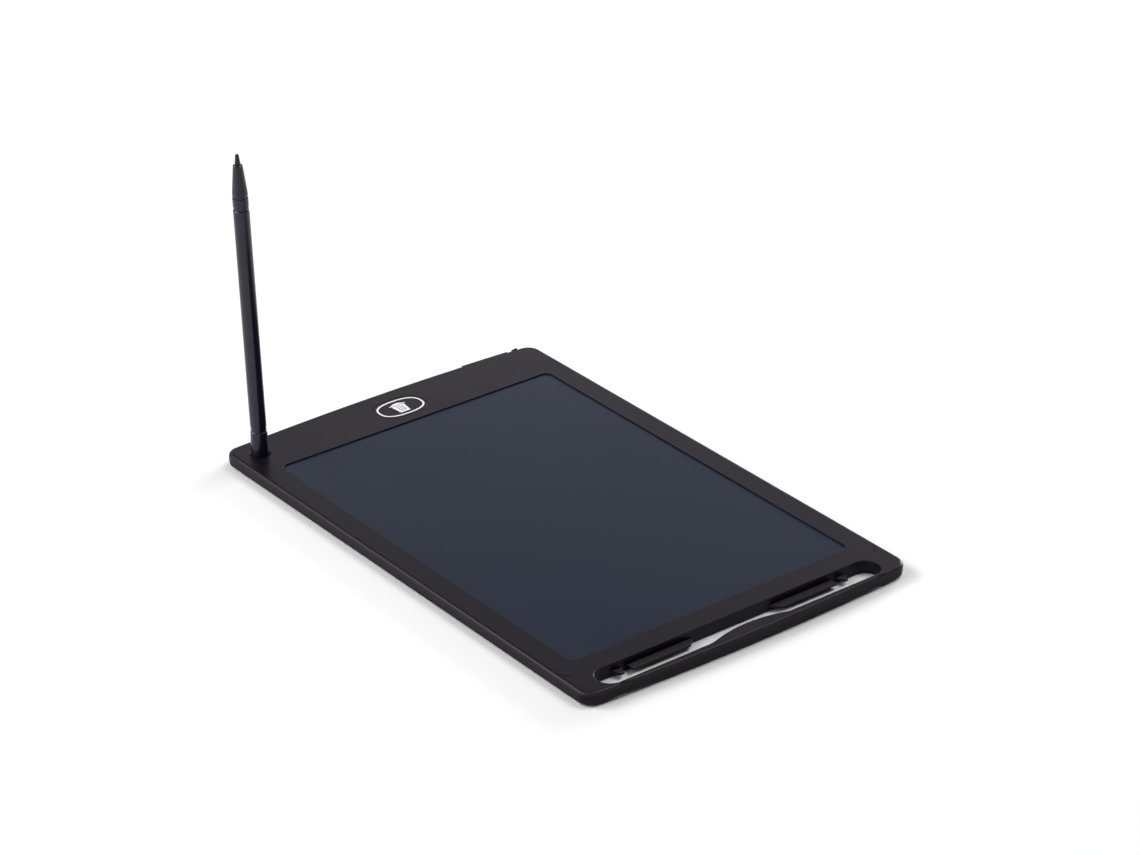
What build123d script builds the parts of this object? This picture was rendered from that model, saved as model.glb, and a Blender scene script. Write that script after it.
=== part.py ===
from build123d import *
import math
import os

# A liquid-crystal writing tablet with its stylus stood in the corner socket. All sizes are in millimetres.
# X runs across the tablet, Y up its length towards the erase button, and Z out of the writing surface.
# The origin is the middle of the footprint, on the surface that the feet stand on.

# Case outline: straight long sides, and short ends that bow outwards
case_width = 145.0
case_length = 225.0
top_bow = 2.5
bottom_bow = 2.2
corner_radius = 5.5
bezel_edge_round = 1.4
rear_edge_round = 0.9
seam_step = 0.15           # the rear cover is this much smaller all round, which shows as the seam
rear_side_height = 1.9     # height of the seam above the rear face

# Walls
rear_floor = 1.0
bezel_skirt = 1.4
slot_wall = 1.2
window_lip = 0.35
locating_rib_height = 0.8
locating_rib_thickness = 0.7
shell_gap = 0.12           # clearance where one shell fits inside the other

# Writing surface, from the front to the back
side_border = 9.9
top_border = 25.9
bottom_border = 23.1
window_corner = 3.0
film_overlap = 2.0
film_gap = 0.2
adhesive_thickness = 0.1
adhesive_width = 1.6
cover_film_thickness = 0.25
writing_panel_thickness = 0.4
backing_film_thickness = 0.1
support_plate_thickness = 0.8

# Stylus slot along the bottom edge
slot_length = 126.0
slot_width = 10.7
slot_edge_distance = 3.1   # from the slot's near edge to the outermost point of the bottom end
slot_edge_round = 0.35
bar_bulge = 3.0            # the outer bar swells into the slot by this much in the middle
bar_bulge_half_length = 17.0
clip_reach = 3.2
clip_thickness = 0.75
clip_start = 17.0          # distances of the clip tongues from the middle of the slot
clip_end = 46.0
clip_taper = 3.6
nub_start = 48.2
nub_end = 52.6
nub_taper = 1.4

# Erase button
key_x = 0.3
key_edge_distance = 14.4   # from the top end to the middle of the button
key_length = 22.0
key_width = 14.2
key_gap = 0.15
key_top = 0.8
key_wall = 0.9
key_flange = 0.8
key_flange_thickness = 0.25
key_travel = 0.25
key_boss_radius = 1.6

# Circuit board and what is on it
board_thickness = 0.8
board_standoff = 0.8
board_width_left = 15.0    # from the button's middle to the board's left end
board_depth = 15.0
board_edge_gap = 4.6       # from the top end to the board
switch_size = 4.5
switch_height = 0.9
plunger_radius = 1.0
plunger_proud = 0.35
plunger_depth = 0.6
running_gap = 0.05
chip_size = 4.0
chip_height = 0.7
small_part = (1.6, 0.8, 0.5)
flex_width = 10.0
flex_thickness = 0.12
flex_distance = 17.0       # from the button's middle to the middle of the flexible tail

# Coin cell and its tray
cell_radius = 10.0
cell_thickness = 1.6
cell_gap = 0.1
cell_edge_wall = 2.9       # from the top end to the cell's rim
tray_side = 0.45
tray_floor = 0.45
tray_under_gap = 0.25
tray_rim_drop = 0.1
tray_fit = 0.2
tray_lip_proud = 0.4
tray_lip_drop = 0.3
tray_lip_band = 1.0        # how far the lip reaches in from the edge at the front face
tray_lip_gap = 0.12
tray_slot_half = 4.5
contact_width = 4.0
contact_thickness = 0.2
contact_gap = 0.05
strip_thickness = 0.15
head_gap = 0.25

# Tray latch, between the tray and the corner
latch_zone = 11.6          # from the long side to the tray
latch_travel = 1.5
latch_knob_length = 2.9
latch_gap = 2.3            # from the tray to the latch's knob
latch_proud = 0.95
latch_stem_length = 2.0
latch_stem_height = 0.9
latch_plate_thickness = 1.2

# Screws and feet
screw_side_distance = 4.5
screw_end_distance_top = 24.5
screw_end_distance_bottom = 18.5
screw_radius = 0.7
screw_head_radius = 1.4
screw_head_height = 0.8
screw_gap = 0.02
boss_radius = 1.9
foot_radius = 4.0
foot_height = 0.5
foot_recess = 0.4
foot_side_distance = 12.5
foot_top_distance = 32.0
foot_bottom_distance = 22.5

# Stylus and its socket
socket_side_distance = 9.9
socket_end_distance = 12.6
socket_depth = 3.5
socket_gap = 0.1
socket_wall = 1.2
socket_chamfer = 0.45
stylus_lean = 1.5          # degrees
stylus_lean_heading = 142.2
stylus_lift = 0.1          # lets the leaning stylus clear the socket floor
tail_radius = 3.5
stylus_length = 125.0
tail_end = 16.4            # distances along the stylus from the end that stands in the socket
tail_flare_start = 12.4
tail_flare_middle = 9.8
tail_flare_end = 5.2
tail_middle_radius = 3.3
grip_groove_start = 13.0
grip_groove_end = 15.2
collar_start = 103.5
collar_end = 109.1
cone_end = 121.0
barrel_radius = 3.08
barrel_top_radius = 3.03
barrel_bore = 2.1
collar_radius = 2.96
cone_radius = 2.92
cone_tip_radius = 1.8
nib_radius = 1.05
nib_tip_radius = 0.62
spigot_length = 5.0
spigot_gap = 0.03
groove_depth = 0.3
ring_width = 0.8

# Small features
join_overlap = 0.2
crease_side_distance = 1.9
crease_end_distance = 16.0
crease_radius = 3.1
crease_reach = 2.7
crease_width = 0.35
crease_depth = 0.16
standoff_radius = 1.5
rail_thickness = 1.0
rail_height = 1.0
rail_latch_gap = 0.8
board_corner_radius = 0.8
board_screw_radius = 0.5
board_screw_hole_radius = 0.65
board_screw_head_radius = 1.1
board_screw_head_height = 0.5
board_screw_head_round = 0.2
board_screw_end_distance = 2.2
board_screw_side_distance = 2.4
small_part_places = ((-4.6, 1.0), (-4.6, 3.0), (4.6, 1.0), (4.6, 3.0), (0.0, 5.2), (2.6, 5.2), (-7.4, 2.0))
chip_offset = 1.2
chip_edge_chamfer = 0.12
switch_corner_radius = 0.4
support_plate_inset = 0.6
flex_first_run = 1.6
flex_whole_run = 4.8
flex_bend_radius = 0.35
key_flange_gap = 0.1
key_edge_round = 0.15
cell_step_height = 0.3
cell_step_width = 1.4
cell_edge_round = 0.3
latch_play = 0.15
latch_head_gap = 0.3

# Heights of the layers
rear_z = foot_height
floor_z = rear_z + rear_floor
seam_z = rear_z + rear_side_height
tray_z = floor_z + tray_under_gap
cell_z = tray_z + tray_floor
cell_top_z = cell_z + cell_thickness
ceiling_z = cell_top_z + contact_gap + contact_thickness + head_gap
film_stack = cover_film_thickness + writing_panel_thickness + backing_film_thickness
front_z = ceiling_z + film_stack + adhesive_thickness + window_lip
lip_z = front_z - window_lip
film_z = lip_z - adhesive_thickness
board_z = floor_z + board_standoff
board_top_z = board_z + board_thickness
switch_top_z = board_top_z + switch_height
plunger_top_z = switch_top_z + plunger_proud

# Places that follow from the outline
rear_wall = bezel_skirt + shell_gap + locating_rib_thickness
top_y = case_length / 2
bottom_y = -case_length / 2
window_half = case_width / 2 - side_border
window_top = top_y - top_border
window_bottom = bottom_y + bottom_border
window_middle = (window_top + window_bottom) / 2
slot_near = bottom_y + slot_edge_distance
slot_far = slot_near + slot_width
slot_middle = (slot_near + slot_far) / 2
clip_z = seam_z - clip_thickness
key_y = top_y - key_edge_distance
tray_width = 2 * (cell_radius + cell_gap + tray_side)
tray_right = case_width / 2 - latch_zone
tray_left = tray_right - tray_width
cell_x = (tray_left + tray_right) / 2
cell_y = top_y - cell_edge_wall - cell_radius
tray_end = cell_y - cell_radius - cell_gap + 0.25
tray_lip_z = front_z - tray_lip_drop
strip_y = cell_y - 0.45 * cell_radius
board_left = key_x - board_width_left
board_right = tray_left - 2.2
board_y = top_y - board_edge_gap - board_depth / 2
socket_x = -case_width / 2 + socket_side_distance
socket_y = top_y - socket_end_distance
socket_floor_z = front_z - socket_depth
flex_x = key_x + flex_distance
latch_x = tray_right + latch_gap + latch_knob_length / 2
screw_x = case_width / 2 - screw_side_distance
screw_places = [
    (side * screw_x, y)
    for side in (-1, 1)
    for y in (top_y - screw_end_distance_top, 0.0, bottom_y + screw_end_distance_bottom)
]
foot_x = case_width / 2 - foot_side_distance
foot_places = [
    (side * foot_x, y)
    for side in (-1, 1)
    for y in (top_y - foot_top_distance, bottom_y + foot_bottom_distance)
]


def slab(face, low, high):
    """A flat outline made solid between two heights."""
    return extrude(Pos(0, 0, low) * face, amount=high - low)


def block(x0, x1, y0, y1, z0, z1):
    return Pos((x0 + x1) / 2, (y0 + y1) / 2, (z0 + z1) / 2) * Box(x1 - x0, y1 - y0, z1 - z0)


def disc(radius, x, y, low, high):
    return Pos(x, y, (low + high) / 2) * Cylinder(radius, high - low)


def end_y(sign, bow, x, inset=0.0):
    """Y of a bowed end at a distance x from the middle."""
    half = case_width / 2
    arc_radius = (half**2 + bow**2) / (2 * bow)
    return sign * (case_length / 2 - arc_radius + math.sqrt((arc_radius - inset) ** 2 - x**2))


lip_inner_y = end_y(1, top_bow, tray_right, bezel_skirt) - 0.1


def case_face(inset=0.0):
    """The case outline, drawn in from the edge by inset."""
    half = case_width / 2 - inset
    top_side = end_y(1, top_bow, half, inset)
    bottom_side = end_y(-1, bottom_bow, half, inset)
    edges = [
        Line((-half, bottom_side), (-half, top_side)),
        ThreePointArc((-half, top_side), (0, top_y - inset), (half, top_side)),
        Line((half, top_side), (half, bottom_side)),
        ThreePointArc((half, bottom_side), (0, bottom_y + inset), (-half, bottom_side)),
    ]
    outline = make_face(edges)
    return fillet(outline.vertices(), corner_radius - inset)


def window_face(grow=0.0):
    """The window's outline, or that of the films behind it when grown."""
    width = 2 * (window_half + grow)
    height = window_top - window_bottom + 2 * grow
    return Pos(0, window_middle) * RectangleRounded(width, height, window_corner)


def slot_face():
    """The slot, with the outer bar's swelling taken out of it."""
    whole = Pos(0, slot_middle) * SlotOverall(slot_length, slot_width)
    half = bar_bulge_half_length
    swelling = make_face([
        ThreePointArc((-half, slot_near), (0, slot_near + bar_bulge), (half, slot_near)),
        Line((half, slot_near), (half, slot_near - 1)),
        Line((half, slot_near - 1), (-half, slot_near - 1)),
        Line((-half, slot_near - 1), (-half, slot_near)),
    ])
    cut = whole - swelling
    joins = [v for v in cut.vertices() if abs(abs(v.X) - half) < 0.01 and abs(v.Y - slot_near) < 0.01]
    return fillet(joins, 12.0)


def key_face(grow=0.0):
    return Pos(key_x, key_y) * SlotOverall(key_length + 2 * grow, key_width + 2 * grow)


def slot_ring(low, high):
    """The wall round the slot."""
    around = Pos(0, slot_middle) * SlotOverall(slot_length + 2 * slot_wall, slot_width + 2 * slot_wall)
    return slab(around, low, high) & slab(case_face(seam_step), low, high)


def tray_opening(low, wall):
    """The cut through an end wall of this thickness that the battery tray and its lip slide through."""
    left = tray_left - tray_fit
    right = tray_right + tray_fit
    inner = end_y(1, top_bow, right, wall) - 0.1
    below = block(left, right, min(inner, lip_inner_y - tray_fit), top_y + 1, low, ceiling_z)
    above = block(left, right, lip_inner_y - 2, top_y + 1, ceiling_z - 0.1, front_z + 1)
    above -= slab(case_face(tray_lip_band + tray_lip_gap), ceiling_z - 1, front_z + 2)
    return below + above


def corner_crease(side):
    """A shallow hooked crease beside the slot's end."""
    x = side * (case_width / 2 - crease_side_distance)
    y = bottom_y + crease_end_distance
    bend = (x, y + crease_reach)
    path = Line(bend, (x, y + crease_radius))
    path += RadiusArc(bend, (x - side * crease_reach, y), side * crease_radius)
    tool = trace(path, crease_width)
    return slab(tool, front_z - crease_depth, front_z + 1)


def front_bezel():
    outer = slab(case_face(), seam_z, front_z)
    outer = fillet(outer.faces().sort_by(Axis.Z)[-1].edges(), bezel_edge_round)
    body = outer - slab(case_face(bezel_skirt), seam_z, ceiling_z)
    body += slot_ring(seam_z, ceiling_z + 0.2) & outer
    body += disc(tail_radius + socket_gap + socket_wall, socket_x, socket_y, seam_z, ceiling_z)
    for x, y in screw_places:
        body += disc(boss_radius, x, y, seam_z, ceiling_z)
    # Window, with the films' seat behind its lip
    body -= slab(window_face(), ceiling_z - 1, front_z + 1)
    body -= slab(window_face(film_overlap + film_gap), ceiling_z - 1, lip_z)
    # Pocket where the flexible tail leaves the films
    y = window_top + film_overlap
    half = flex_width / 2 + 1
    body -= block(flex_x - half, flex_x + half, y - 1, y + 3.2, ceiling_z - 1, lip_z)
    body -= slab(slot_face(), seam_z - 1, front_z + 1)
    body -= slab(key_face(key_gap), seam_z, front_z + 1)
    body -= disc(tail_radius + socket_gap, socket_x, socket_y, seam_z - 1, front_z + 1)
    for x, y in screw_places:
        body -= disc(screw_radius + screw_gap, x, y, seam_z - 1, ceiling_z)
    body = soften_front(body)
    body -= tray_opening(seam_z - 1, bezel_skirt)
    # The latch's stem runs in a slot that is open towards the rear cover
    stem_left = latch_x - latch_stem_length / 2 - latch_travel - tray_fit
    stem_right = latch_x + latch_stem_length / 2 + tray_fit
    wall_inner = end_y(1, top_bow, stem_right, bezel_skirt) - 1
    stem_top = seam_z + latch_stem_height + latch_head_gap
    body -= block(stem_left, stem_right, wall_inner, top_y + 1, seam_z - 1, stem_top)
    for side in (-1, 1):
        body -= corner_crease(side)
    return body


def soften_front(body):
    """Rounds the front edges of the slot and the window, and countersinks the socket."""
    def on_front(edge):
        return abs(edge.center().Z - front_z) < 0.01 and edge.bounding_box().size.Z < 0.01

    slot_edges = []
    window_edges = []
    socket_edges = []
    for edge in body.edges():
        if not on_front(edge):
            continue
        box = edge.bounding_box()
        in_slot = box.max.Y < slot_far + 0.1 and box.min.Y > slot_near - 0.1
        in_slot = in_slot and abs(box.max.X) < slot_length / 2 + 0.1
        in_window = box.max.Y < window_top + 0.1 and box.min.Y > window_bottom - 0.1
        in_window = in_window and max(abs(box.min.X), abs(box.max.X)) < window_half + 0.1
        off_socket = math.hypot(edge.center().X - socket_x, edge.center().Y - socket_y)
        if in_slot:
            slot_edges.append(edge)
        elif in_window:
            window_edges.append(edge)
        elif off_socket < tail_radius + socket_gap + 0.1:
            socket_edges.append(edge)
    body = fillet(slot_edges, slot_edge_round)
    body = fillet(match_edges(body, window_edges), 0.15)
    return chamfer(match_edges(body, socket_edges), socket_chamfer)


def match_edges(body, wanted):
    """Finds edges again by their middles after an earlier fillet has rebuilt the solid."""
    found = []
    for old in wanted:
        middle = old.position_at(0.5)
        found.append(min(body.edges(), key=lambda e: (e.position_at(0.5) - middle).length))
    return found


def clip_tongue(side):
    """A thin tongue that holds the stowed stylus, square at its outer end and tapered at its inner end."""
    root = slot_far + 0.2
    tip = slot_far - clip_reach
    points = [
        (side * clip_start, root),
        (side * clip_start, slot_far),
        (side * (clip_start + clip_taper), tip),
        (side * clip_end, tip),
        (side * clip_end, root),
    ]
    return slab(make_face(Polyline(*points, close=True)), clip_z, seam_z)


def clip_nub(side):
    """The small hook beyond each tongue."""
    root = slot_far + 0.2
    tip = slot_far - clip_reach
    points = [
        (side * nub_start, root),
        (side * nub_start, slot_far),
        (side * (nub_start + nub_taper), tip),
        (side * (nub_end - nub_taper), tip),
        (side * nub_end, slot_far),
        (side * nub_end, root),
    ]
    return slab(make_face(Polyline(*points, close=True)), clip_z, seam_z)


def locating_rib():
    """The rib that stands up inside the bezel's skirt, left out at the tray, the latch and the slot."""
    inset = bezel_skirt + shell_gap
    rib = slab(case_face(inset), seam_z - 0.4, seam_z + locating_rib_height)
    rib -= slab(case_face(inset + locating_rib_thickness), seam_z - 1, seam_z + 2)
    rib -= block(tray_left - 2, case_width / 2, top_y - 14, top_y + 1, seam_z - 1, seam_z + 2)
    rib -= block(-case_width, case_width, bottom_y - 1, slot_far + slot_wall + 1.5, seam_z - 1, seam_z + 2)
    for x, y in screw_places:
        rib -= disc(boss_radius + shell_gap, x, y, seam_z, seam_z + 2)
    return rib


def support_ribs():
    """Ribs that carry the support plate from the floor of the rear cover."""
    top = ceiling_z - support_plate_thickness
    half = window_half - 3
    ribs = None
    rows = 5
    columns = 4
    span = window_top - window_bottom - 16
    for i in range(rows):
        y = window_bottom + 8 + span * i / (rows - 1)
        rib = block(-half, half, y - 0.5, y + 0.5, floor_z, top)
        ribs = rib if ribs is None else ribs + rib
    for i in range(columns):
        x = -half + 2 * half * (i + 0.5) / columns
        ribs += block(x - 0.5, x + 0.5, window_bottom + 8, window_top - 8, floor_z, top)
    return ribs


def rear_cover():
    outer = slab(case_face(seam_step), rear_z, seam_z)
    outer = fillet(outer.faces().sort_by(Axis.Z)[0].edges(), rear_edge_round)
    body = outer - slab(case_face(rear_wall), floor_z, seam_z + 1)
    body += slot_ring(floor_z - join_overlap, seam_z)
    body += locating_rib()
    body += support_ribs()
    socket_radius = tail_radius + socket_gap + socket_wall
    body += disc(socket_radius, socket_x, socket_y, floor_z - join_overlap, socket_floor_z)
    for x, y in screw_places:
        body += disc(boss_radius, x, y, floor_z - join_overlap, seam_z)
    # Board standoffs, and the rails beside the battery tray
    for x, y in board_screw_places():
        body += disc(standoff_radius, x, y, floor_z - join_overlap, board_z)
    rail_far = latch_plate_y() - rail_latch_gap
    rail_top = cell_z + rail_height
    for rail_x in (tray_left - tray_fit - rail_thickness, tray_right + tray_fit):
        body += block(rail_x, rail_x + rail_thickness, tray_end, rail_far, floor_z - join_overlap, rail_top)
    y0 = strip_y - contact_width / 2
    y1 = strip_y + contact_width / 2
    body -= block(board_right - 3, cell_x, y0, y1, floor_z, floor_z + 2 * strip_thickness)
    body -= slab(slot_face(), rear_z - 1, seam_z + 1)
    for side in (-1, 1):
        body += clip_tongue(side)
        body += clip_nub(side)
    for x, y in screw_places:
        body -= disc(screw_head_radius + 0.1, x, y, rear_z - 1, rear_z + screw_head_height + 0.1)
        body -= disc(screw_radius + screw_gap, x, y, rear_z, seam_z + 1)
    for x, y in board_screw_places():
        body -= disc(board_screw_radius + screw_gap, x, y, floor_z - 0.1, board_z + 1)
    for x, y in foot_places:
        body -= disc(foot_radius + 0.05, x, y, rear_z - 1, rear_z + foot_recess)
    body -= tray_opening(tray_z - 0.1, rear_wall)
    return body


def board_screw_places():
    y = board_y + board_depth / 2 - board_screw_end_distance
    return [(board_left + board_screw_side_distance, y), (board_right - board_screw_side_distance, y)]


def latch_plate_y():
    """Y of the latch plate's inner face."""
    stem_right = latch_x + latch_knob_length / 2
    return end_y(1, top_bow, stem_right, bezel_skirt) - latch_play - latch_plate_thickness


def adhesive_frame():
    ring = slab(window_face(film_overlap), film_z, lip_z)
    return ring - slab(window_face(film_overlap - adhesive_width), film_z - 1, lip_z + 1)


def film_layer(top, thickness):
    return slab(window_face(film_overlap), top - thickness, top)


def support_plate():
    low = ceiling_z - support_plate_thickness
    return slab(window_face(film_overlap - support_plate_inset), low, ceiling_z)


def flex_tail():
    """The flexible tail from the writing panel's edge down on to the circuit board."""
    start_y = window_top + film_overlap
    high = film_z - cover_film_thickness - writing_panel_thickness / 2
    low = board_top_z + flex_thickness / 2
    turn = start_y + flex_first_run
    path = Polyline((start_y, high), (turn, high), (turn, low), (start_y + flex_whole_run, low))
    path = fillet(path.vertices()[1:3], flex_bend_radius)
    strip = trace(path, flex_thickness)
    plane = Plane(origin=(flex_x - flex_width / 2, 0, 0), x_dir=(0, 1, 0), z_dir=(1, 0, 0))
    return extrude(plane * strip, amount=flex_width)


def circuit_board():
    half = board_depth / 2
    body = block(board_left, board_right, board_y - half, board_y + half, board_z, board_top_z)
    body = fillet(body.edges().filter_by(Axis.Z), board_corner_radius)
    for x, y in board_screw_places():
        body -= disc(board_screw_hole_radius, x, y, board_z - 1, board_top_z + 1)
    return body


def board_screws():
    """Two small screws that hold the board on its standoffs."""
    group = []
    for x, y in board_screw_places():
        head = disc(board_screw_head_radius, x, y, board_top_z, board_top_z + board_screw_head_height)
        head = fillet(head.edges().sort_by(Axis.Z)[-1:], board_screw_head_round)
        shank = disc(board_screw_radius, x, y, floor_z, board_top_z)
        group.append(head + shank)
    return Compound(children=group)


def driver_chip():
    x = flex_x
    y = board_y + chip_offset
    half = chip_size / 2
    body = block(x - half, x + half, y - half, y + half, board_top_z, board_top_z + chip_height)
    return chamfer(body.faces().sort_by(Axis.Z)[-1].edges(), chip_edge_chamfer)


def board_parts():
    """Small capacitors and resistors on the board."""
    length, width, height = small_part
    group = []
    top = board_top_z + height
    for dx, dy in small_part_places:
        x = flex_x + dx
        y = board_y + dy
        group.append(block(x - width / 2, x + width / 2, y - length / 2, y + length / 2, board_top_z, top))
    return Compound(children=group)


def tact_switch():
    half = switch_size / 2
    body = block(key_x - half, key_x + half, key_y - half, key_y + half, board_top_z, switch_top_z)
    body = fillet(body.edges().filter_by(Axis.Z), switch_corner_radius)
    bore_low = switch_top_z - plunger_depth
    return body - disc(plunger_radius + running_gap, key_x, key_y, bore_low, switch_top_z + 1)


def switch_plunger():
    low = switch_top_z - plunger_depth + key_travel + 0.1
    return disc(plunger_radius, key_x, key_y, low, plunger_top_z)


def erase_button():
    flange_top = ceiling_z - key_flange_gap
    flange_low = flange_top - key_flange_thickness
    cap = slab(key_face(), flange_top, front_z)
    cap = fillet(cap.faces().sort_by(Axis.Z)[-1].edges(), key_edge_round)
    cap += slab(key_face(key_flange), flange_low, flange_top)
    cap -= slab(key_face(-key_wall), flange_low - 1, front_z - key_top)
    cap += disc(key_boss_radius, key_x, key_y, plunger_top_z, front_z - key_top)
    return cap


def coin_cell():
    """The cell's can, with its stepped lower face."""
    can = disc(cell_radius, cell_x, cell_y, cell_z + cell_step_height, cell_top_z)
    can = fillet(can.edges().sort_by(Axis.Z)[-1:], cell_edge_round)
    step_top = cell_z + cell_step_height + join_overlap / 2
    step = disc(cell_radius - cell_step_width, cell_x, cell_y, cell_z, step_top)
    return can + step


def battery_tray():
    rim_top = cell_top_z - tray_rim_drop
    body = block(tray_left, tray_right, tray_end, lip_inner_y + 0.2, tray_z, rim_top)
    # The floor is open in the middle, for the lower contact
    body -= disc(tray_slot_half, cell_x, cell_y, tray_z - 1, cell_z + 1)
    half = tray_slot_half
    body -= block(cell_x - half, cell_x + half, tray_end - 1, cell_y, tray_z - 1, rim_top + 1)
    # Lip that closes the opening and stands a little proud of the edge
    proud = slab(case_face(-tray_lip_proud), tray_z, tray_lip_z)
    lip = proud & block(tray_left, tray_right, lip_inner_y, top_y + 2, tray_z, tray_lip_z)
    lip -= slab(case_face(tray_lip_band), ceiling_z - tray_lip_gap, front_z + 1)
    outer_edges = [e for e in lip.edges().group_by(Axis.Z)[-1] if e.center().Y > top_y - top_bow]
    lip = fillet(max(outer_edges, key=lambda e: e.center().Y), 0.25)
    body += lip
    body -= disc(cell_radius + cell_gap, cell_x, cell_y, cell_z, front_z)
    # Notch that the latch's tongue enters
    y0 = latch_plate_y() - latch_play
    y1 = latch_plate_y() + latch_plate_thickness + latch_play
    left = tray_right - latch_reach() - latch_play
    body -= block(left, tray_right + 1, y0, y1, seam_z - 0.1, seam_z + latch_stem_height + latch_head_gap)
    return body


def latch_reach():
    """How far the latch's tongue enters the tray when it is slid across."""
    return latch_travel - 0.4


def tray_latch():
    low = seam_z + 0.1
    high = low + latch_stem_height
    y0 = latch_plate_y()
    y1 = y0 + latch_plate_thickness
    stem_half = latch_stem_length / 2
    plate = block(tray_right + 0.4, latch_x + stem_half, y0, y1, low, high)
    knob_left = latch_x - latch_knob_length / 2
    knob_right = latch_x + latch_knob_length / 2
    knob_inner = end_y(1, top_bow, knob_left - latch_travel) + 0.08
    outer = end_y(1, top_bow, knob_right) + latch_proud
    stem = block(latch_x - stem_half, latch_x + stem_half, y0, knob_inner + 0.05, low, high)
    wedge = make_face(Polyline(
        (knob_left, knob_inner),
        (knob_right, knob_inner),
        (knob_right, outer - 0.15),
        (knob_right - 0.5, outer),
        (knob_left, knob_inner + 0.2),
        close=True,
    ))
    knob = slab(wedge, low - 0.5, tray_lip_z)
    return plate + stem + knob


def contact_positive():
    """The spring finger over the top of the cell."""
    x0 = board_right - 2.6
    x1 = cell_x - 3.0
    y = cell_y
    half = contact_width / 2
    low = cell_top_z + contact_gap
    finger = block(x0, x1, y - half, y + half, low, low + contact_thickness)
    foot = block(x0, x0 + 0.25, y - half, y + half, board_top_z, low + contact_thickness)
    pad = block(x0 - 1.6, x0 + 0.25, y - half, y + half, board_top_z, board_top_z + contact_thickness)
    return finger + foot + pad


def contact_negative():
    """The strip under the tray, with its raised end in the tray's open middle."""
    y0 = strip_y - contact_width / 2 + 0.6
    y1 = strip_y + contact_width / 2 - 0.6
    x0 = board_right - 3.0
    top = cell_z - contact_gap
    flat = block(x0, cell_x + 1.5, y0, y1, floor_z, floor_z + strip_thickness)
    post = block(cell_x - 1.0, cell_x - 0.8, y0, y1, floor_z, top)
    crown = block(cell_x - 1.0, cell_x + 1.5, y0, y1, top - strip_thickness, top)
    riser = block(x0, x0 + 0.2, y0, y1, floor_z, board_z)
    return flat + post + crown + riser


def case_screws():
    """The screws that hold the two shells together, all alike."""
    group = []
    low = rear_z + 0.1
    for x, y in screw_places:
        head = disc(screw_head_radius, x, y, low, low + screw_head_height)
        head = chamfer(head.edges().sort_by(Axis.Z)[:1], 0.2)
        shank = disc(screw_radius, x, y, low, ceiling_z - 0.3)
        screw = head + shank
        for turn in (0, 90):
            slot = Pos(x, y, low) * Rot(0, 0, turn) * Box(1.6, 0.35, 0.7)
            screw -= slot
        group.append(screw)
    return Compound(children=group)


def rubber_feet():
    group = []
    for x, y in foot_places:
        foot = disc(foot_radius, x, y, 0, rear_z + foot_recess)
        group.append(fillet(foot.edges().sort_by(Axis.Z)[:1], 0.2))
    return Compound(children=group)


def place_stylus(shape):
    """Stands a piece of the stylus, drawn upright from its lower end, in the socket with its lean."""
    heading = math.radians(stylus_lean_heading)
    tilt_axis = Axis((0, 0, 0), (-math.sin(heading), math.cos(heading), 0))
    leaning = shape.rotate(tilt_axis, stylus_lean)
    lean = math.radians(stylus_lean)
    half_depth = socket_depth / 2
    back = half_depth * math.tan(lean)
    x = socket_x - back * math.cos(heading)
    y = socket_y - back * math.sin(heading)
    return Pos(x, y, socket_floor_z + stylus_lift) * leaning


def turned(points):
    """A round piece from its half profile, given as (radius, height) points."""
    profile = make_face(Polyline(*[(r, z) for r, z in points], close=True))
    return revolve(Plane.XZ * profile, Axis.Z)


def stylus_tail():
    """The flared foot of the stylus, with a spigot into the barrel."""
    bore = barrel_bore - spigot_gap
    spigot_top = tail_end + spigot_length
    return turned([
        (0, 0),
        (tail_radius - 0.4, 0),
        (tail_radius, 0.4),
        (tail_radius, tail_flare_end),
        (tail_middle_radius, tail_flare_middle),
        (barrel_radius + 0.1, tail_flare_start),
        (barrel_radius, grip_groove_start),
        (barrel_radius - groove_depth / 2, grip_groove_start + 0.15),
        (barrel_radius - groove_depth / 2, grip_groove_end - 0.15),
        (barrel_radius, grip_groove_end),
        (barrel_radius, tail_end),
        (bore, tail_end),
        (bore, spigot_top - 0.5),
        (bore - 0.5, spigot_top),
        (0, spigot_top),
    ])


def stylus_barrel():
    return turned([
        (barrel_bore, tail_end),
        (barrel_radius, tail_end),
        (barrel_radius, tail_end + 20),
        (barrel_top_radius, collar_start - 0.25),
        (barrel_top_radius - 0.2, collar_start),
        (barrel_bore, collar_start),
    ])


def stylus_collar():
    """The narrow band below the cone, with spigots both ways."""
    bore = barrel_bore - spigot_gap
    inner = 1.5
    return turned([
        (0, collar_start - spigot_length),
        (bore, collar_start - spigot_length),
        (bore, collar_start),
        (collar_radius - groove_depth, collar_start),
        (collar_radius - groove_depth, collar_start + ring_width),
        (collar_radius, collar_start + ring_width + 0.15),
        (collar_radius, collar_end - ring_width - 0.15),
        (collar_radius - groove_depth, collar_end - ring_width),
        (collar_radius - groove_depth, collar_end),
        (inner, collar_end),
        (inner, collar_end + 3),
        (0, collar_end + 3),
    ])


def stylus_cone():
    inner = 1.5 + spigot_gap
    return turned([
        (inner, collar_end),
        (cone_radius - 0.1, collar_end),
        (cone_radius, collar_end + 0.15),
        (cone_radius - 0.04, collar_end + 1.2),
        (cone_tip_radius, cone_end - 0.3),
        (cone_tip_radius - 0.35, cone_end),
        (nib_radius + spigot_gap, cone_end),
        (nib_radius + spigot_gap, collar_end + 5),
        (inner, collar_end + 5),
    ])


def stylus_nib():
    return turned([
        (0, collar_end + 5.05),
        (nib_radius, collar_end + 5.05),
        (nib_radius, cone_end + 0.4),
        (nib_tip_radius + 0.1, stylus_length - 0.5),
        (nib_tip_radius, stylus_length - 0.2),
        (nib_tip_radius - 0.2, stylus_length),
        (0, stylus_length),
    ])


panel_top = film_z - cover_film_thickness
backing_top = panel_top - writing_panel_thickness

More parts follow.
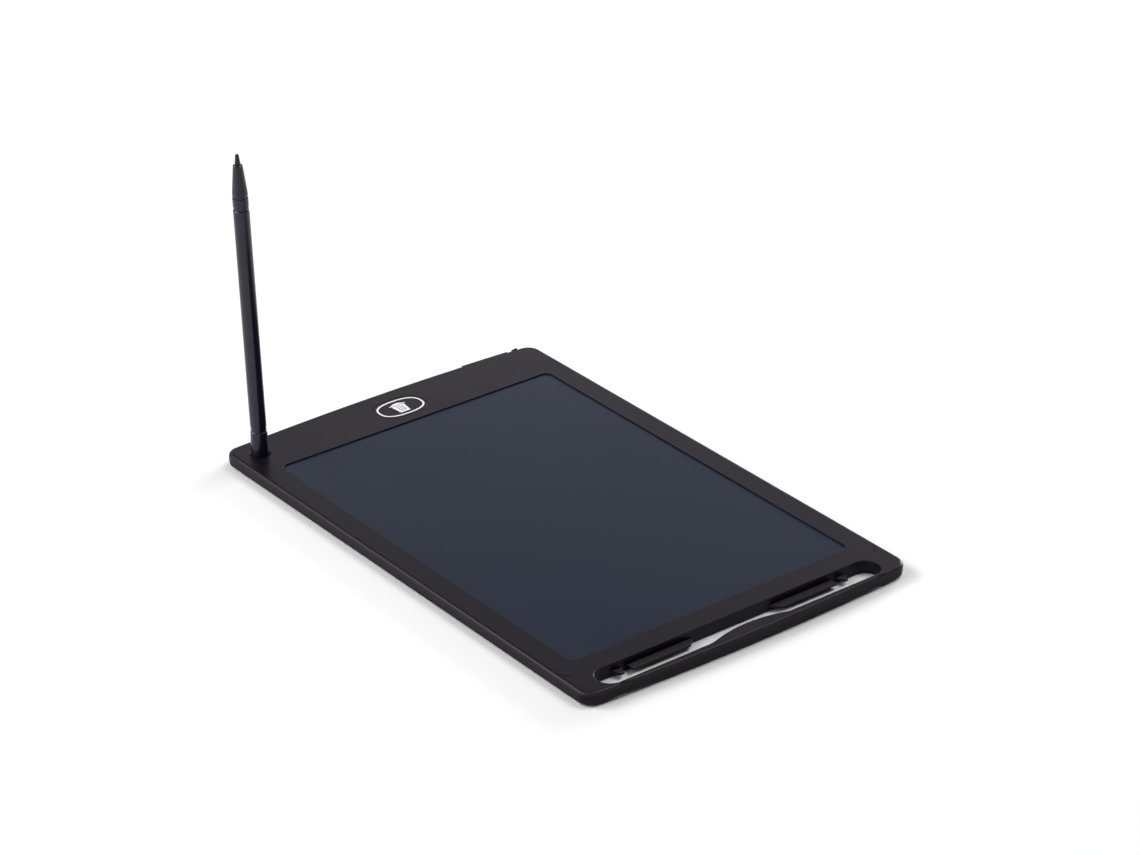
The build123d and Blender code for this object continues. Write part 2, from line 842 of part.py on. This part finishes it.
pieces = {
    "front_bezel": front_bezel(),
    "rear_cover": rear_cover(),
    "adhesive_frame": adhesive_frame(),
    "cover_film": film_layer(film_z, cover_film_thickness),
    "writing_panel": film_layer(panel_top, writing_panel_thickness),
    "backing_film": film_layer(backing_top, backing_film_thickness),
    "support_plate": support_plate(),
    "flex_tail": flex_tail(),
    "circuit_board": circuit_board(),
    "board_screws": board_screws(),
    "driver_chip": driver_chip(),
    "board_parts": board_parts(),
    "tact_switch": tact_switch(),
    "switch_plunger": switch_plunger(),
    "erase_button": erase_button(),
    "coin_cell": coin_cell(),
    "battery_tray": battery_tray(),
    "tray_latch": tray_latch(),
    "contact_positive": contact_positive(),
    "contact_negative": contact_negative(),
    "case_screws": case_screws(),
    "rubber_feet": rubber_feet(),
    "stylus_tail": place_stylus(stylus_tail()),
    "stylus_barrel": place_stylus(stylus_barrel()),
    "stylus_collar": place_stylus(stylus_collar()),
    "stylus_cone": place_stylus(stylus_cone()),
    "stylus_nib": place_stylus(stylus_nib()),
}

os.makedirs("parts", exist_ok=True)
for name, shape in pieces.items():
    export_step(shape, "parts/" + name + ".step")
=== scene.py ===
import math
import bmesh
import bpy
from mathutils import Matrix, Vector


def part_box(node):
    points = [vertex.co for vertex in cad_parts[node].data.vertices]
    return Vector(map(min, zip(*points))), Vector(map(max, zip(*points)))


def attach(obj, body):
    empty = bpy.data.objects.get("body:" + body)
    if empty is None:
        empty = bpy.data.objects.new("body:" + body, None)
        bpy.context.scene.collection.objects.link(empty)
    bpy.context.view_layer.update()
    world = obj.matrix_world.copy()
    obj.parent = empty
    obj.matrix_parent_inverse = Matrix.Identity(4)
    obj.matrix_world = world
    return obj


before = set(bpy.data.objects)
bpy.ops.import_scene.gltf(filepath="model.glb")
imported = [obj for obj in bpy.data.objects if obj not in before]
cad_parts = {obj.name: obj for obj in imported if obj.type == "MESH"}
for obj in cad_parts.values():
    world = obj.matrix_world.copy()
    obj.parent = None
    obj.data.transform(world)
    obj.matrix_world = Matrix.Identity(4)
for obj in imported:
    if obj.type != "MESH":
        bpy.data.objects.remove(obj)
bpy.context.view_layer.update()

mm = 0.001   # metres in a millimetre
studio = bpy.context.scene
studio.view_settings.view_transform = "Standard"
studio.view_settings.look = "None"


cameraLook = {
    "azimuth": -37.780,      # degrees, 0 looks along +Y
    "elevation": 27.784,
    "roll": -0.226,
    "distance": 1.311756,    # metres from the middle of the footprint
    "slideRight": 0.0049928,
    "slideUp": 0.0329622,
    "focalLength": 113.545,  # millimetres
    "sensorWidth": 36,
}


def makeCamera(look):
    azimuth = math.radians(look["azimuth"])
    elevation = math.radians(look["elevation"])
    roll = math.radians(look["roll"])
    back = Vector((
        math.sin(azimuth) * math.cos(elevation),
        -math.cos(azimuth) * math.cos(elevation),
        math.sin(elevation),
    ))
    levelRight = (-back).cross(Vector((0, 0, 1))).normalized()
    levelUp = levelRight.cross(-back)
    right = math.cos(roll) * levelRight + math.sin(roll) * levelUp
    up = math.cos(roll) * levelUp - math.sin(roll) * levelRight
    place = back * look["distance"] + right * look["slideRight"] + up * look["slideUp"]
    data = bpy.data.cameras.new("studioCamera")
    data.lens = look["focalLength"]
    data.sensor_width = look["sensorWidth"]
    data.sensor_fit = "HORIZONTAL"
    data.clip_start = 0.01
    data.clip_end = 50
    camera = bpy.data.objects.new("studioCamera", data)
    camera.matrix_world = Matrix((
        (right.x, up.x, back.x, place.x),
        (right.y, up.y, back.y, place.y),
        (right.z, up.z, back.z, place.z),
        (0, 0, 0, 1),
    ))
    studio.collection.objects.link(camera)
    studio.camera = camera


studioLook = {
    "worldGrey": 0.05,
    "floorSize": 9.0,
    "floorColour": (0.93, 0.93, 0.935, 1),
    "floorRoughness": 0.75,
    "floorSpecular": 0.1,
}

# name, place, aimed at, width, height, watts
softBoxes = [
    ("topBox", (0.00, 0.00, 2.20), (0, 0, 0), 2.6, 2.6, 5.3),
    ("topRightBox", (1.00, -0.30, 1.90), (0, 0, 0), 1.2, 1.2, 20),
    ("leftBox", (-1.60, 0.10, 0.95), (0, 0, 0.05), 0.9, 1.3, 13.5),
    ("leftBackBox", (-1.20, 1.20, 1.30), (0, 0, 0.02), 1.0, 0.8, 26),
    ("backStrip", (1.23, 1.58, 0.85), (0, 0, 0), 2.4, 0.3, 4.1),
    ("backLowStrip", (1.23, 1.58, 0.40), (0, 0, 0), 2.4, 0.6, 4.0),
    ("rightLowStrip", (1.90, 0.50, 0.40), (0, 0, 0), 1.0, 0.6, 30),
]


def makeStudio(look):
    world = bpy.data.worlds.new("studioWorld")
    studio.world = world
    world.use_nodes = True
    grey = look["worldGrey"]
    world.node_tree.nodes["Background"].inputs["Color"].default_value = (grey, grey, grey, 1)
    mesh = bpy.data.meshes.new("studioFloor")
    half = look["floorSize"] / 2
    corners = [(-half, -half, 0), (half, -half, 0), (half, half, 0), (-half, half, 0)]
    mesh.from_pydata(corners, [], [(0, 1, 2, 3)])
    floor = bpy.data.objects.new("studioFloor", mesh)
    studio.collection.objects.link(floor)
    paint = bpy.data.materials.new("floorPaper")
    paint.use_nodes = True
    shader = paint.node_tree.nodes["Principled BSDF"]
    shader.inputs["Base Color"].default_value = look["floorColour"]
    shader.inputs["Roughness"].default_value = look["floorRoughness"]
    shader.inputs["Specular IOR Level"].default_value = look["floorSpecular"]
    mesh.materials.append(paint)
    for name, place, target, width, height, watts in softBoxes:
        data = bpy.data.lights.new(name, "AREA")
        data.shape = "RECTANGLE"
        data.size = width
        data.size_y = height
        data.energy = watts
        lamp = bpy.data.objects.new(name, data)
        lamp.location = place
        aim = Vector(target) - Vector(place)
        lamp.rotation_euler = aim.to_track_quat("-Z", "Y").to_euler()
        lamp.visible_camera = False
        studio.collection.objects.link(lamp)


makeCamera(cameraLook)
makeStudio(studioLook)
print("camera and studio ready")


def link(tree, fromNode, fromSocket, toNode, toSocket):
    tree.links.new(fromNode.outputs[fromSocket], toNode.inputs[toSocket])


def newFinish(name):
    material = bpy.data.materials.new(name)
    material.use_nodes = True
    tree = material.node_tree
    return material, tree, tree.nodes["Principled BSDF"]


def addNoise(tree, scale, detail=3.0, roughness=0.55, stretch=None):
    # solid noise in the object's own metres
    where = tree.nodes.new("ShaderNodeTexCoord")
    noise = tree.nodes.new("ShaderNodeTexNoise")
    noise.inputs["Scale"].default_value = scale
    noise.inputs["Detail"].default_value = detail
    noise.inputs["Roughness"].default_value = roughness
    if stretch:
        mapping = tree.nodes.new("ShaderNodeMapping")
        mapping.inputs["Scale"].default_value = stretch
        link(tree, where, "Object", mapping, "Vector")
        link(tree, mapping, "Vector", noise, "Vector")
    else:
        link(tree, where, "Object", noise, "Vector")
    return noise


def addRamp(tree, source, low, high, lowStop=0.35, highStop=0.65):
    ramp = tree.nodes.new("ShaderNodeValToRGB")
    ramp.color_ramp.elements[0].position = lowStop
    ramp.color_ramp.elements[1].position = highStop
    ramp.color_ramp.elements[0].color = low
    ramp.color_ramp.elements[1].color = high
    tree.links.new(source.outputs["Fac"], ramp.inputs["Fac"])
    return ramp


def addRange(tree, source, low, high, fromLow=0.3, fromHigh=0.7):
    mapRange = tree.nodes.new("ShaderNodeMapRange")
    mapRange.inputs["From Min"].default_value = fromLow
    mapRange.inputs["From Max"].default_value = fromHigh
    mapRange.inputs["To Min"].default_value = low
    mapRange.inputs["To Max"].default_value = high
    tree.links.new(source.outputs["Fac"], mapRange.inputs["Value"])
    return mapRange


def addBump(tree, shader, heights):
    # heights: node, its output, strength, distance in metres
    last = None
    for source, socket, strength, distance in heights:
        bump = tree.nodes.new("ShaderNodeBump")
        bump.inputs["Strength"].default_value = strength
        bump.inputs["Distance"].default_value = distance
        tree.links.new(source.outputs[socket], bump.inputs["Height"])
        if last:
            link(tree, last, "Normal", bump, "Normal")
        last = bump
    link(tree, last, "Normal", shader, "Normal")


def paintedHighlightMask(tree, full, none, low, high):
    # painted highlight mask, by how far a surface faces up in the scene: whole below full, gone at none,
    # and fading in from low to high
    facing = tree.nodes.new("ShaderNodeNewGeometry")
    parts = tree.nodes.new("ShaderNodeSeparateXYZ")
    link(tree, facing, "Normal", parts, "Vector")
    fades = []
    for start, end in ((none, full), (low, high)):
        fade = tree.nodes.new("ShaderNodeMapRange")
        fade.inputs["From Min"].default_value = start
        fade.inputs["From Max"].default_value = end
        link(tree, parts, "Z", fade, "Value")
        fades.append(fade)
    mask = tree.nodes.new("ShaderNodeMath")
    mask.operation = "MULTIPLY"
    link(tree, fades[0], "Result", mask, 0)
    link(tree, fades[1], "Result", mask, 1)
    return mask


def darkAndLight(base, darker, lighter):
    return tuple(c * darker for c in base) + (1,), tuple(min(1, c * lighter) for c in base) + (1,)


cloudHeight = 0.00004   # metres
grainHeight = 0.00002


def mouldedPlastic(name, look):
    material, tree, shader = newFinish(name)
    grain = addNoise(tree, look["grainScale"], 2.0, 0.6)
    cloud = addNoise(tree, look["cloudScale"], 3.0, 0.5)
    rub = addNoise(tree, look["rubScale"], 4.0, 0.6, look.get("rubStretch", (1, 1, 1)))
    dark, light = darkAndLight(look["colour"], 1 - look["colourSpread"], 1 + look["colourSpread"])
    tint = addRamp(tree, cloud, dark, light)
    link(tree, tint, "Color", shader, "Base Color")
    rough = look["roughness"]
    change = look["roughnessSpread"]
    roughness = addRange(tree, rub, rough - change, rough + change)
    link(tree, roughness, "Result", shader, "Roughness")
    shader.inputs["Specular IOR Level"].default_value = look["specular"]
    # painted highlight: a lighter colour mixed in by which way the surface faces, standing in for light on
    # rounded edges and up-facing tops
    if look.get("paintedHighlightColour"):
        mask = paintedHighlightMask(tree, *look["paintedHighlightFacing"])
        paintedHighlightMix = tree.nodes.new("ShaderNodeMix")
        paintedHighlightMix.data_type = "RGBA"
        paintedHighlightMix.blend_type = "MIX"
        link(tree, mask, "Value", paintedHighlightMix, "Factor")
        # 6, 7 and 2 are the colour sockets A, B and Result
        tree.links.new(tint.outputs["Color"], paintedHighlightMix.inputs[6])
        paintedHighlightMix.inputs[7].default_value = look["paintedHighlightColour"] + (1,)
        tree.links.new(paintedHighlightMix.outputs[2], shader.inputs["Base Color"])
    addBump(tree, shader, [
        (cloud, "Fac", look["cloudBump"], cloudHeight),
        (grain, "Fac", look["grainBump"], grainHeight),
    ])
    return material


# colours are linear; the lighter colour given for the bezel's rounded edge and for the clips' tops is a
# painted highlight that stands in for light falling there, not the plastic's own colour
plasticLooks = {
    "bezelPlastic": {
        "colour": (0.0054, 0.0031, 0.0086), "colourSpread": 0.05,
        "roughness": 0.36, "roughnessSpread": 0.03, "specular": 0.13,
        "grainScale": 3200, "grainBump": 0.12, "cloudScale": 160, "cloudBump": 0.05,
        "rubScale": 60, "paintedHighlightColour": (0.0260, 0.0245, 0.0280), "paintedHighlightFacing": (0.90, 0.985, 0.05, 0.35),
    },
    "rearPlastic": {
        "colour": (0.0052, 0.0042, 0.0070), "colourSpread": 0.06,
        "roughness": 0.42, "roughnessSpread": 0.05, "specular": 0.15,
        "grainScale": 2600, "grainBump": 0.35, "cloudScale": 140, "cloudBump": 0.06, "rubScale": 45,
        "paintedHighlightColour": (0.034, 0.032, 0.037), "paintedHighlightFacing": (1.0, 1.5, 0.5, 0.9),
    },
    "buttonPlastic": {
        "colour": (0.0054, 0.0031, 0.0086), "colourSpread": 0.05,
        "roughness": 0.36, "roughnessSpread": 0.03, "specular": 0.13,
        "grainScale": 3400, "grainBump": 0.22, "cloudScale": 220, "cloudBump": 0.05, "rubScale": 160,
    },
    "trayPlastic": {
        "colour": (0.0046, 0.0043, 0.0054), "colourSpread": 0.06,
        "roughness": 0.38, "roughnessSpread": 0.05, "specular": 0.15,
        "grainScale": 2400, "grainBump": 0.2, "cloudScale": 200, "cloudBump": 0.05, "rubScale": 120,
    },
    "stylusPlastic": {
        "colour": (0.0105, 0.0078, 0.0200), "colourSpread": 0.06,
        "roughness": 0.22, "roughnessSpread": 0.03, "specular": 0.42,
        "grainScale": 2200, "grainBump": 0.12, "cloudScale": 180, "cloudBump": 0.05,
        "rubScale": 240, "rubStretch": (1, 1, 0.12),
    },
    "nibPlastic": {
        "colour": (0.0100, 0.0098, 0.0120), "colourSpread": 0.10,
        "roughness": 0.42, "roughnessSpread": 0.08, "specular": 0.45,
        "grainScale": 4200, "grainBump": 0.25, "cloudScale": 900, "cloudBump": 0.1, "rubScale": 700,
    },
    "chipPlastic": {
        "colour": (0.0120, 0.0120, 0.0125), "colourSpread": 0.08,
        "roughness": 0.60, "roughnessSpread": 0.05, "specular": 0.35,
        "grainScale": 5200, "grainBump": 0.4, "cloudScale": 500, "cloudBump": 0.05, "rubScale": 400,
    },
    "footRubber": {
        "colour": (0.0130, 0.0130, 0.0130), "colourSpread": 0.10,
        "roughness": 0.85, "roughnessSpread": 0.06, "specular": 0.20,
        "grainScale": 3000, "grainBump": 0.5, "cloudScale": 600, "cloudBump": 0.2, "rubScale": 300,
    },
    "stiffenerSheet": {
        "colour": (0.0600, 0.0600, 0.0620), "colourSpread": 0.08,
        "roughness": 0.65, "roughnessSpread": 0.06, "specular": 0.30,
        "grainScale": 1800, "grainBump": 0.2, "cloudScale": 70, "cloudBump": 0.05, "rubScale": 40,
    },
    "blackFilm": {
        "colour": (0.0080, 0.0080, 0.0085), "colourSpread": 0.06,
        "roughness": 0.55, "roughnessSpread": 0.05, "specular": 0.30,
        "grainScale": 2600, "grainBump": 0.15, "cloudScale": 90, "cloudBump": 0.05, "rubScale": 60,
    },
    "tapeFoam": {
        "colour": (0.0120, 0.0120, 0.0120), "colourSpread": 0.12,
        "roughness": 0.80, "roughnessSpread": 0.06, "specular": 0.15,
        "grainScale": 2200, "grainBump": 0.5, "cloudScale": 800, "cloudBump": 0.2, "rubScale": 300,
    },
}
finishes = {name: mouldedPlastic(name, look) for name, look in plasticLooks.items()}


screenLook = {
    "colour": (0.0062, 0.0116, 0.0275),
    "roughness": 0.34, "roughnessSpread": 0.03, "specular": 0.13,
    "sparkleScale": 5200, "sparkleBump": 0.10, "sparkleHeight": 0.00001,
    "waveScale": 9.0, "waveBump": 0.02, "waveHeight": 0.0004,
    "wipeScale": 34, "wipeStretch": (1, 0.25, 1), "colourSpread": 0.03,
}


def screenFilm(name, look):
    # anti-glare film laid over the dark slate panel
    material, tree, shader = newFinish(name)
    sparkle = addNoise(tree, look["sparkleScale"], 1.0, 0.5)
    wave = addNoise(tree, look["waveScale"], 2.0, 0.5)
    wipe = addNoise(tree, look["wipeScale"], 4.0, 0.6, look["wipeStretch"])
    dark, light = darkAndLight(look["colour"], 1 - look["colourSpread"], 1 + look["colourSpread"])
    tint = addRamp(tree, wave, dark, light)
    link(tree, tint, "Color", shader, "Base Color")
    rough, change = look["roughness"], look["roughnessSpread"]
    link(tree, addRange(tree, wipe, rough - change, rough + change), "Result", shader, "Roughness")
    shader.inputs["Specular IOR Level"].default_value = look["specular"]
    addBump(tree, shader, [
        (wave, "Fac", look["waveBump"], look["waveHeight"]),
        (sparkle, "Fac", look["sparkleBump"], look["sparkleHeight"]),
    ])
    return material


finishes["screenFilm"] = screenFilm("screenFilm", screenLook)
panelLook = dict(screenLook, colour=(0.0120, 0.0180, 0.0260), roughness=0.28, sparkleBump=0.03)
finishes["panelFilm"] = screenFilm("panelFilm", panelLook)


metalLooks = {
    "cellSteel": {
        "colour": (0.62, 0.61, 0.60), "roughness": 0.28, "roughnessSpread": 0.08,
        "brush": (1, 1, 1), "brushScale": 420,
    },
    "contactSteel": {
        "colour": (0.66, 0.63, 0.56), "roughness": 0.34, "roughnessSpread": 0.08,
        "brush": (0.05, 1, 1), "brushScale": 1500,
    },
    "switchSteel": {
        "colour": (0.60, 0.60, 0.59), "roughness": 0.38, "roughnessSpread": 0.07,
        "brush": (1, 0.08, 1), "brushScale": 1500,
    },
    "blackScrew": {
        "colour": (0.060, 0.060, 0.063), "roughness": 0.36, "roughnessSpread": 0.08,
        "brush": (1, 1, 1), "brushScale": 1800,
    },
    "brightScrew": {
        "colour": (0.55, 0.54, 0.52), "roughness": 0.33, "roughnessSpread": 0.08,
        "brush": (1, 1, 1), "brushScale": 1800,
    },
}


def metalFinish(name, look):
    material, tree, shader = newFinish(name)
    scratch = addNoise(tree, look["brushScale"], 5.0, 0.65, look["brush"])
    stain = addNoise(tree, 260, 3.0, 0.5)
    dark, light = darkAndLight(look["colour"], 0.86, 1.08)
    link(tree, addRamp(tree, stain, dark, light), "Color", shader, "Base Color")
    rough, change = look["roughness"], look["roughnessSpread"]
    link(tree, addRange(tree, scratch, rough - change, rough + change), "Result", shader, "Roughness")
    shader.inputs["Metallic"].default_value = 1
    addBump(tree, shader, [(scratch, "Fac", 0.15, grainHeight)])
    return material


for name, look in metalLooks.items():
    finishes[name] = metalFinish(name, look)


boardLooks = {
    "boardGreen": {
        "base": (0.012, 0.085, 0.032, 1), "track": (0.030, 0.150, 0.060, 1),
        "trackScale": 420, "trackWidth": 0.05,
    },
    "flexAmber": {
        "base": (0.360, 0.150, 0.030, 1), "track": (0.520, 0.250, 0.080, 1),
        "trackScale": 700, "trackWidth": 0.16,
    },
}


def boardFinish(name, look):
    # solder mask or film with slightly raised copper tracks under it
    material, tree, shader = newFinish(name)
    where = tree.nodes.new("ShaderNodeTexCoord")
    tracks = tree.nodes.new("ShaderNodeTexBrick")
    tracks.inputs["Scale"].default_value = look["trackScale"]
    tracks.inputs["Mortar Size"].default_value = look["trackWidth"]
    tracks.inputs["Mortar Smooth"].default_value = 0.3
    tracks.inputs["Color1"].default_value = look["base"]
    tracks.inputs["Color2"].default_value = tuple(c * 0.9 for c in look["base"][:3]) + (1,)
    tracks.inputs["Mortar"].default_value = look["track"]
    link(tree, where, "Object", tracks, "Vector")
    link(tree, tracks, "Color", shader, "Base Color")
    cloud = addNoise(tree, 700, 3.0, 0.5)
    link(tree, addRange(tree, cloud, 0.28, 0.42), "Result", shader, "Roughness")
    addBump(tree, shader, [(tracks, "Fac", 0.4, 0.00003), (cloud, "Fac", 0.05, grainHeight)])
    return material


for name, look in boardLooks.items():
    finishes[name] = boardFinish(name, look)


ceramicLook = {"dark": (0.20, 0.13, 0.08, 1), "light": (0.34, 0.25, 0.17, 1)}


def ceramicFinish(name, look):
    material, tree, shader = newFinish(name)
    speck = addNoise(tree, 2600, 3.0, 0.6)
    link(tree, addRamp(tree, speck, look["dark"], look["light"]), "Color", shader, "Base Color")
    link(tree, addRange(tree, speck, 0.4, 0.6), "Result", shader, "Roughness")
    addBump(tree, shader, [(speck, "Fac", 0.2, grainHeight)])
    return material


finishes["ceramicParts"] = ceramicFinish("ceramicParts", ceramicLook)


printLook = {"colour": (0.82, 0.81, 0.82), "roughness": 0.45}


def printFinish(name, look):
    # pad-printed white, a little thin where the grain shows through
    material, tree, shader = newFinish(name)
    thin = addNoise(tree, 3000, 3.0, 0.6)
    dark, light = darkAndLight(look["colour"], 0.90, 1)
    link(tree, addRamp(tree, thin, dark, light, 0.25, 0.5), "Color", shader, "Base Color")
    rough = look["roughness"]
    link(tree, addRange(tree, thin, rough - 0.05, rough + 0.08), "Result", shader, "Roughness")
    addBump(tree, shader, [(thin, "Fac", 0.2, 0.00001)])
    return material


finishes["whitePrint"] = printFinish("whitePrint", printLook)

nodeFinish = {
    "front_bezel": "bezelPlastic", "rear_cover": "rearPlastic", "adhesive_frame": "tapeFoam",
    "cover_film": "screenFilm", "writing_panel": "panelFilm", "backing_film": "blackFilm",
    "support_plate": "stiffenerSheet", "flex_tail": "flexAmber", "circuit_board": "boardGreen",
    "board_screws": "brightScrew", "driver_chip": "chipPlastic", "board_parts": "ceramicParts",
    "tact_switch": "switchSteel", "switch_plunger": "chipPlastic", "erase_button": "buttonPlastic",
    "coin_cell": "cellSteel", "battery_tray": "trayPlastic", "tray_latch": "trayPlastic",
    "contact_positive": "contactSteel", "contact_negative": "contactSteel",
    "case_screws": "blackScrew", "rubber_feet": "footRubber",
    "stylus_tail": "stylusPlastic", "stylus_barrel": "stylusPlastic", "stylus_collar": "stylusPlastic",
    "stylus_cone": "stylusPlastic", "stylus_nib": "nibPlastic",
}
for node, finish in nodeFinish.items():
    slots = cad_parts[node].data.materials
    if len(slots) == 0:
        slots.append(finishes[finish])
    for i in range(len(slots)):
        slots[i] = finishes[finish]
print("finishes on", len(nodeFinish), "nodes")

buttonLow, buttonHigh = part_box("erase_button")
buttonTop = buttonHigh.z
buttonMiddle = (buttonLow + buttonHigh) / 2
printThickness = 0.012   # millimetres

# both are in millimetres, from the middle of the button
ringLook = {
    "middle": (0, -0.10),
    "length": 19.05,
    "width": 11.35,
    "line": 0.74,
    "bevel": 0.03,
    "squareness": 2.5,
    "steps": 160,
}

binLook = {
    "lid": [(-3.75, 1.95), (3.65, 1.95), (3.65, 2.35), (2.70, 2.50), (2.00, 3.00), (1.00, 3.45),
            (-0.05, 3.60), (-1.10, 3.45), (-2.10, 3.00), (-2.80, 2.50), (-3.75, 2.35)],
    "topLeft": (-3.00, 1.65),
    "topRight": (2.75, 1.65),
    "bottomRight": (2.00, -4.00),
    "bottomLeft": (-2.50, -4.00),
    "slitTop": 0.80,
    "slitBottom": -3.00,
    "slitsAtTop": (-1.20, -0.03, 1.14),
    "slitsAtBottom": (-1.05, -0.10, 0.85),
    "slitWidth": 0.32,
}


def onButton(x, y, lift):
    return buttonMiddle.x + x * mm, buttonMiddle.y + y * mm, buttonTop + lift * mm


def printedPiece(name, mesh):
    mesh.materials.append(finishes["whitePrint"])
    piece = bpy.data.objects.new(name, mesh)
    studio.collection.objects.link(piece)
    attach(piece, "erase_key")


def ovalPoint(look, angle, grow):
    # a rounder or squarer oval, by its squareness; 2 is an ellipse
    power = 2 / look["squareness"]
    c, s = math.cos(angle), math.sin(angle)
    x = (look["length"] / 2 + grow) * math.copysign(abs(c) ** power, c)
    y = (look["width"] / 2 + grow) * math.copysign(abs(s) ** power, s)
    return x + look["middle"][0], y + look["middle"][1]


def makeRing(look):
    verts, faces = [], []
    count = look["steps"]
    outer = look["line"] / 2
    crest = outer - look["bevel"]
    section = ((-outer, 0), (-crest, printThickness), (crest, printThickness), (outer, 0))
    for i in range(count):
        angle = 2 * math.pi * i / count
        for grow, lift in section:
            x, y = ovalPoint(look, angle, grow)
            verts.append(onButton(x, y, lift))
    for i in range(count):
        a, b = 4 * i, 4 * ((i + 1) % count)
        for k in range(4):
            n = (k + 1) % 4
            faces.append((a + k, a + n, b + n, b + k))
    mesh = bpy.data.meshes.new("printedRing")
    mesh.from_pydata(verts, [], faces)
    printedPiece("printedRing", mesh)


def makeBin(look):
    shape = bmesh.new()

    def raised(points):
        bottom = [shape.verts.new(onButton(x, y, 0)) for x, y in points]
        top = [shape.verts.new(onButton(x, y, printThickness)) for x, y in points]
        count = len(points)
        shape.faces.new(top)
        shape.faces.new(list(reversed(bottom)))
        for i in range(count):
            j = (i + 1) % count
            shape.faces.new((bottom[i], bottom[j], top[j], top[i]))

    def between(a, b, y):
        return a[0] + (b[0] - a[0]) * (y - a[1]) / (b[1] - a[1])

    def leftAt(y):
        return between(look["bottomLeft"], look["topLeft"], y)

    def rightAt(y):
        return between(look["bottomRight"], look["topRight"], y)

    raised(look["lid"])
    # the body is a band above the slits, a band below them and bars between them
    top, bottom = look["slitTop"], look["slitBottom"]
    raised([(leftAt(top), top), (rightAt(top), top), look["topRight"], look["topLeft"]])
    raised([look["bottomLeft"], look["bottomRight"], (rightAt(bottom), bottom), (leftAt(bottom), bottom)])
    half = look["slitWidth"] / 2
    barTop, barBottom = leftAt(top), leftAt(bottom)
    for slitTop, slitBottom in zip(look["slitsAtTop"], look["slitsAtBottom"]):
        raised([(barBottom, bottom), (slitBottom - half, bottom), (slitTop - half, top), (barTop, top)])
        barTop, barBottom = slitTop + half, slitBottom + half
    raised([(barBottom, bottom), (rightAt(bottom), bottom), (rightAt(top), top), (barTop, top)])
    bmesh.ops.recalc_face_normals(shape, faces=shape.faces)
    mesh = bpy.data.meshes.new("printedBin")
    shape.to_mesh(mesh)
    shape.free()
    printedPiece("printedBin", mesh)


makeRing(ringLook)
makeBin(binLook)
print("printing on the button done")
